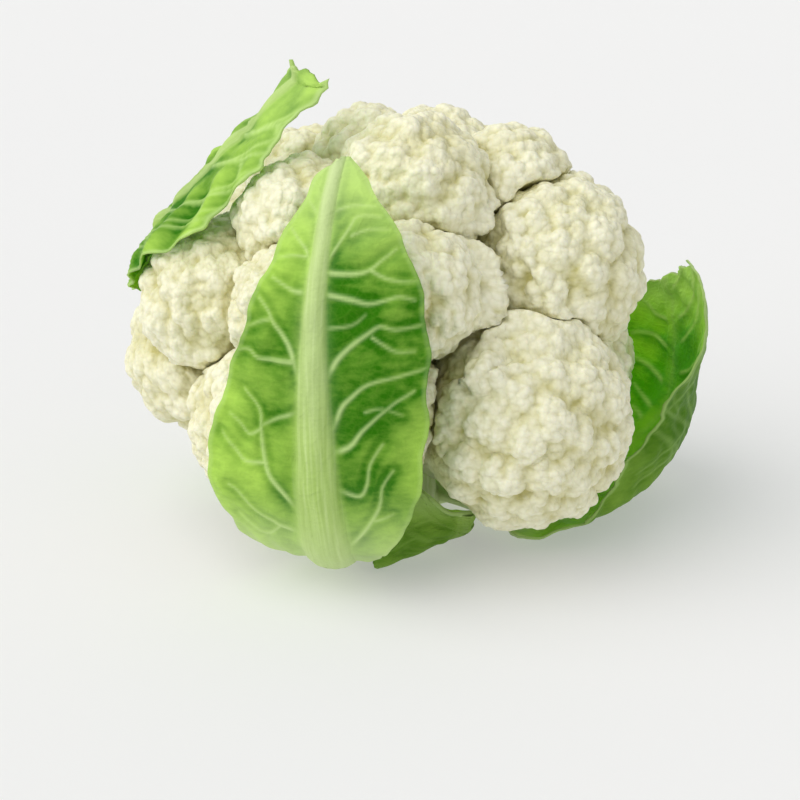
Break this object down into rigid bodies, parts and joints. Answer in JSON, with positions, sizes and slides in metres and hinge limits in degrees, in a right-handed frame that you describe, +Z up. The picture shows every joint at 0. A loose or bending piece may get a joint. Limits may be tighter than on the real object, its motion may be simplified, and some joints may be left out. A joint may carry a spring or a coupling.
{
  "type": "cauliflower",
  "caption": "Whole white cauliflower head with rounded florets on a cut stalk, one long leaf lying up the front, one cupped leaf beside it and trimmed leaves behind.",
  "frame": {"origin": "centre of the flat cut face under the stalk", "axes": "+Z up the stalk towards the crown, -Y towards the front leaf's side"},
  "size_m": [0.1918, 0.1743, 0.1619],
  "materials": {
    "curd": "matte",
    "stalk": "satin",
    "leaf": "satin"
  },
  "bodies": {
    "root": {"floret_crown": "curd", "floret_lower_1": "curd", "floret_lower_2": "curd", "floret_lower_3": "curd", "floret_lower_4": "curd", "floret_lower_5": "curd", "floret_lower_6": "curd", "floret_lower_7": "curd", "floret_lower_8": "curd", "floret_middle_1": "curd", "floret_middle_2": "curd", "floret_middle_3": "curd", "floret_middle_4": "curd", "floret_middle_5": "curd", "floret_middle_6": "curd", "floret_middle_7": "curd", "floret_upper_1": "curd", "floret_upper_2": "curd", "floret_upper_3": "curd", "floret_upper_4": "curd", "floret_upper_5": "curd", "leaf_back": "leaf", "leaf_back_left": "leaf", "leaf_base_front": "leaf", "leaf_base_left": "leaf", "leaf_front": "leaf", "leaf_right": "leaf", "stalk": "stalk"}
  },
  "joints": []
}
